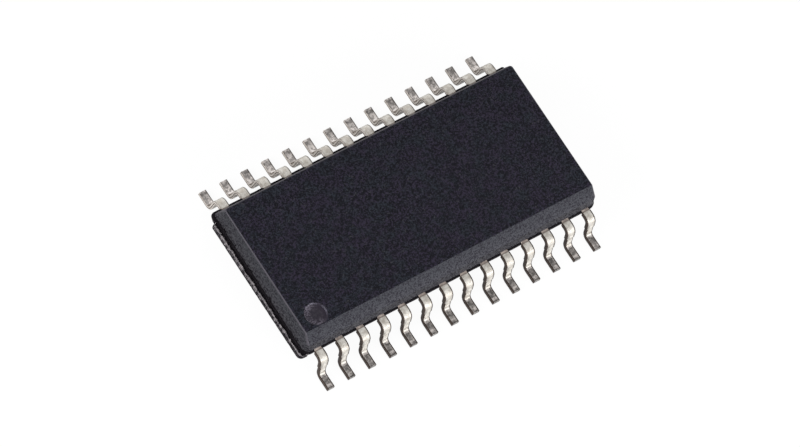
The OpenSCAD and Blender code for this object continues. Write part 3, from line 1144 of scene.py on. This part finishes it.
# %% Outer part of a lead
def bend(out, up, radius, down):
    """Points round a bend: over and down at the shoulder, or levelling out at the foot."""
    points = []
    for k in range(1, 15):
        if down:
            a = LEG_ANGLE * k / 14
            points.append((out + radius * sin(a), up - radius * (1 - cos(a))))
        else:
            a = LEG_ANGLE * (1 - k / 14)
            lower = radius * (cos(a) - cos(LEG_ANGLE))
            points.append((out + radius * (sin(LEG_ANGLE) - sin(a)), up - lower))
    return points


def gull_wing(tip_y):
    """Distance from the middle, height and width at each point of a lead's outer part."""
    exit_y = HALF_W + FLASH_W
    step = 0.012 * MM
    wing = [
        (HALF_W - 0.3 * MM, FRAME_Z, FOOT_W),
        (exit_y - step, FRAME_Z, FOOT_W),
        (exit_y + step, FRAME_Z, SHOULDER_W),
        (HALF_W + SHOULDER_RUN, FRAME_Z, SHOULDER_W),
    ]
    over = bend(HALF_W + SHOULDER_RUN, FRAME_Z, UPPER_BEND_R, down=True)
    wing += [(*point, SHOULDER_W) for point in over]
    out, up = over[-1]
    leg = (up - LOWER_BEND_R * (1 - cos(LEG_ANGLE)) - LEAD_T / 2) / sin(LEG_ANGLE)
    taper = 0.02 * MM
    widths = ((SHOULDER_DROP - taper, SHOULDER_W), (SHOULDER_DROP + taper, FOOT_W), (leg, FOOT_W))
    for along, width in widths:
        wing.append((out + along * cos(LEG_ANGLE), up - along * sin(LEG_ANGLE), width))
    wing += [(*point, FOOT_W) for point in bend(*wing[-1][:2], LOWER_BEND_R, down=False)]
    wing.append((tip_y, LEAD_T / 2, FOOT_W))
    return wing


WING = gull_wing(cad_box[1][1])
print("a lead's outer part has", len(WING), "points; tip at", round(WING[-1][0] / MM, 3), "mm")

# %% Inner part of a lead
def lead_place(n):
    """Side of the body and place along it. Pin 1 is at the left of the near side."""
    if n <= SIDE_LEADS:
        return -1, FIRST_X + (n - 1) * SPACING
    return 1, FIRST_X + (LEAD_COUNT - n) * SPACING


def finger_points(n):
    """Tip and turn of the finger inside the body, at the height of the lead frame."""
    side, x = lead_place(n)
    low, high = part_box(f"lead_{n:02d}")
    turn = Vector((x, side * (HALF_W - FINGER_RUN), FRAME_Z))
    inner_x = high.x if x < 0 else low.x
    inner_y = side * (low.y if side > 0 else -high.y)
    slant = Vector((inner_x, inner_y, FRAME_Z)) - turn
    slant.z = 0.0
    tip = Vector((inner_x, inner_y, FRAME_Z)) - slant.normalized() * FINGER_W / 2
    return tip, turn


def lead_path(n):
    """The whole strip as (x, y, z, width), from the finger tip to the solder foot."""
    side, x = lead_place(n)
    tip, turn = finger_points(n)
    path = [(*tip, FINGER_W), (*tip.lerp(turn, 0.9), FOOT_W)]
    path.append((x, side * (HALF_W - 0.6 * MM), FRAME_Z, FOOT_W))
    return path + [(x, side * out, up, width) for out, up, width in WING]


print("path of lead 1 has", len(lead_path(1)), "points")

# %% [markdown]
# The section of the strip has rounded edges already. What is left are the ends, so a very fine
# Bevel breaks the sharp edges of the cut tip. The flat faces stay truly flat in shading,
# because every edge that turns by more than ten degrees is marked sharp. That gives the crisp
# change from dark to bright where a bend begins.

# %% Leads
def strip_piece(name, path):
    """Runs the tree on a chain of (x, y, z, width) points and returns a plain mesh object."""
    mesh = bpy.data.meshes.new(name)
    mesh.from_pydata([p[:3] for p in path], [(k, k + 1) for k in range(len(path) - 1)], [])
    mesh.attributes.new("width", "FLOAT", "POINT").data.foreach_set("value", [p[3] for p in path])
    obj = link(name, mesh)
    nodes = obj.modifiers.new("strip", "NODES")
    nodes.node_group = STRIP_TREE
    nodes[STRIP_INPUTS["Thickness"]] = LEAD_T
    nodes[STRIP_INPUTS["Edge radius"]] = LEAD_EDGE_R
    nodes[STRIP_INPUTS["Finish"]] = PLATING
    return baked(obj)


for n in range(1, LEAD_COUNT + 1):
    lead = strip_piece(f"plated_lead_{n:02d}", lead_path(n))
    lead = break_edges(lead, 0.012 * MM, segments=2, angle=50, harden=False)
    smooth(lead, 10)
    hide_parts(f"lead_{n:02d}")
    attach(lead, "root")
print("leads:", LEAD_COUNT, "faces each:", len(lead.data.polygons))

# %% [markdown]
# ## Pieces that keep their CAD shape
#
# The paddle, the die, its adhesive and the bond wires are right as they are. They only need
# their finish, which goes into the material slot of the CAD object.

# %% Finishes for the inner solids
def finish_node(node, material):
    mesh = frame["nodes"][node].data
    mesh.materials.clear()
    mesh.materials.append(material)


finish_node("die_pad", COPPER)
finish_node("die", SILICON)
finish_node("die_attach", ADHESIVE)
for n in range(1, LEAD_COUNT + 1):
    finish_node(f"bond_wire_{n:02d}", GOLD)
print("inner solids finished:", 3 + LEAD_COUNT)

# %% [markdown]
# ## Floor
#
# The chip lies on a white table in a small light tent. The paper on the table is a mix of two
# shaders. To the camera it is mostly a steady white; to everything else it is plain paper that
# takes the chip's shadow. The Light Path node tells the two apart, and metal is shown some of
# the white as well, so that it reflects the table that the camera sees.

# %% Floor
def floor_finish():
    material = bpy.data.materials.new("paper")
    material.use_nodes = True
    tree = material.node_tree
    tree.nodes.clear()
    graph = Graph(tree)
    rays = {name: Value(graph, s) for name, s in tree.nodes.new("ShaderNodeLightPath").outputs.items()}
    reflected = rays["Is Glossy Ray"].math("MAXIMUM", rays["Is Transmission Ray"])
    seen = (rays["Is Camera Ray"] * 0.92).math("MAXIMUM", reflected * 0.45)
    paper = graph.node("ShaderNodeBsdfDiffuse", None, {"Color": (0.8, 0.8, 0.8, 1.0)})
    white = graph.node("ShaderNodeEmission", None, {"Color": (1.0, 1.0, 1.0, 1.0), "Strength": 1.02})
    shown = graph.node("ShaderNodeMixShader", None, {0: seen, 1: paper, 2: white})
    graph.feed(tree.nodes.new("ShaderNodeOutputMaterial").inputs["Surface"], shown)
    return material


REACH = 0.6
corners = [(-REACH, -REACH, 0.0), (REACH, -REACH, 0.0), (REACH, REACH, 0.0), (-REACH, REACH, 0.0)]
floor = link("floor", mesh_from("floor", corners, [(0, 1, 2, 3)]), floor_finish())
print("floor:", REACH * 2, "m wide")

# %% [markdown]
# ## Light
#
# White metal only looks like metal when it has something darker to reflect, so the world is
# white at the horizon and gets darker towards the zenith. Two soft boxes do the rest: a low
# one in front, which the bevel and the outer bends of the leads catch, and one at the gate
# end, which draws the thin bright line along the edge of the top.

# %% World
def light_tent():
    world = bpy.data.worlds.new("light_tent")
    world.use_nodes = True
    tree = world.node_tree
    tree.nodes.clear()
    graph = Graph(tree)
    height = parts(graph.node("ShaderNodeTexCoord", out="Generated"))[2]
    tone = tones(height, [(0.0, 1.0), (0.35, 0.9), (0.75, 0.48), (1.0, 0.42)])
    to_camera = graph.node("ShaderNodeLightPath", out="Is Camera Ray")
    tone = mix_colours(to_camera, tone, (1.0, 1.0, 1.0))
    sky = graph.node("ShaderNodeBackground", None, {"Color": tone, "Strength": 1.0})
    graph.feed(tree.nodes.new("ShaderNodeOutputWorld").inputs["Surface"], sky)
    return world


bpy.context.scene.world = light_tent()
print("world:", bpy.context.scene.world.name)

# %% Soft boxes
def soft_box(name, direction, size, radiance, distance=0.10):
    """A rectangular lamp that faces the chip. Radiance is its brightness as the chip sees it."""
    lamp = bpy.data.lights.new(name, "AREA")
    lamp.shape = "RECTANGLE"
    lamp.size, lamp.size_y = size
    lamp.energy = radiance * pi * size[0] * size[1]
    obj = bpy.data.objects.new(name, lamp)
    where = Vector(direction).normalized()
    obj.location = where * distance
    obj.rotation_euler = where.to_track_quat("Z", "Y").to_euler()
    bpy.context.scene.collection.objects.link(obj)
    return obj


front = soft_box("front_box", (0.25, -0.90, 0.30), (0.15, 0.045), 6.2)
left = soft_box("left_box", (-0.84, 0.18, 0.42), (0.09, 0.045), 6.5)
print("soft boxes:", front.name, "and", left.name)

# %% [markdown]
# ## Camera
#
# A long lens from well above keeps the far row of leads almost as large as the near one. The
# camera is set by three directions: to the right, upwards and backwards, each seen from the
# lens. Upwards follows from the other two, so the three stay square to each other.

# %% Camera
camera_data = bpy.data.cameras.new("camera")
camera = bpy.data.objects.new("camera", camera_data)
right = Vector((0.81212, -0.53695, 0.22836)).normalized()
back = Vector((-0.40991, -0.24649, 0.87819)).normalized()
up = back.cross(right).normalized()
where = Vector((-126.45, -76.04, 272.2)) * MM
camera.matrix_world = Matrix((
    (right.x, up.x, back.x, where.x),
    (right.y, up.y, back.y, where.y),
    (right.z, up.z, back.z, where.z),
    (0.0, 0.0, 0.0, 1.0),
))
camera_data.lens = 276.6
camera_data.sensor_width = 36.0
camera_data.shift_x = -0.00775
camera_data.shift_y = -0.0155
camera_data.clip_start = 0.01
camera_data.clip_end = 5.0
bpy.context.scene.collection.objects.link(camera)
bpy.context.scene.camera = camera
bpy.context.scene.view_settings.view_transform = "Standard"
print("camera at", [round(v, 4) for v in camera.location])
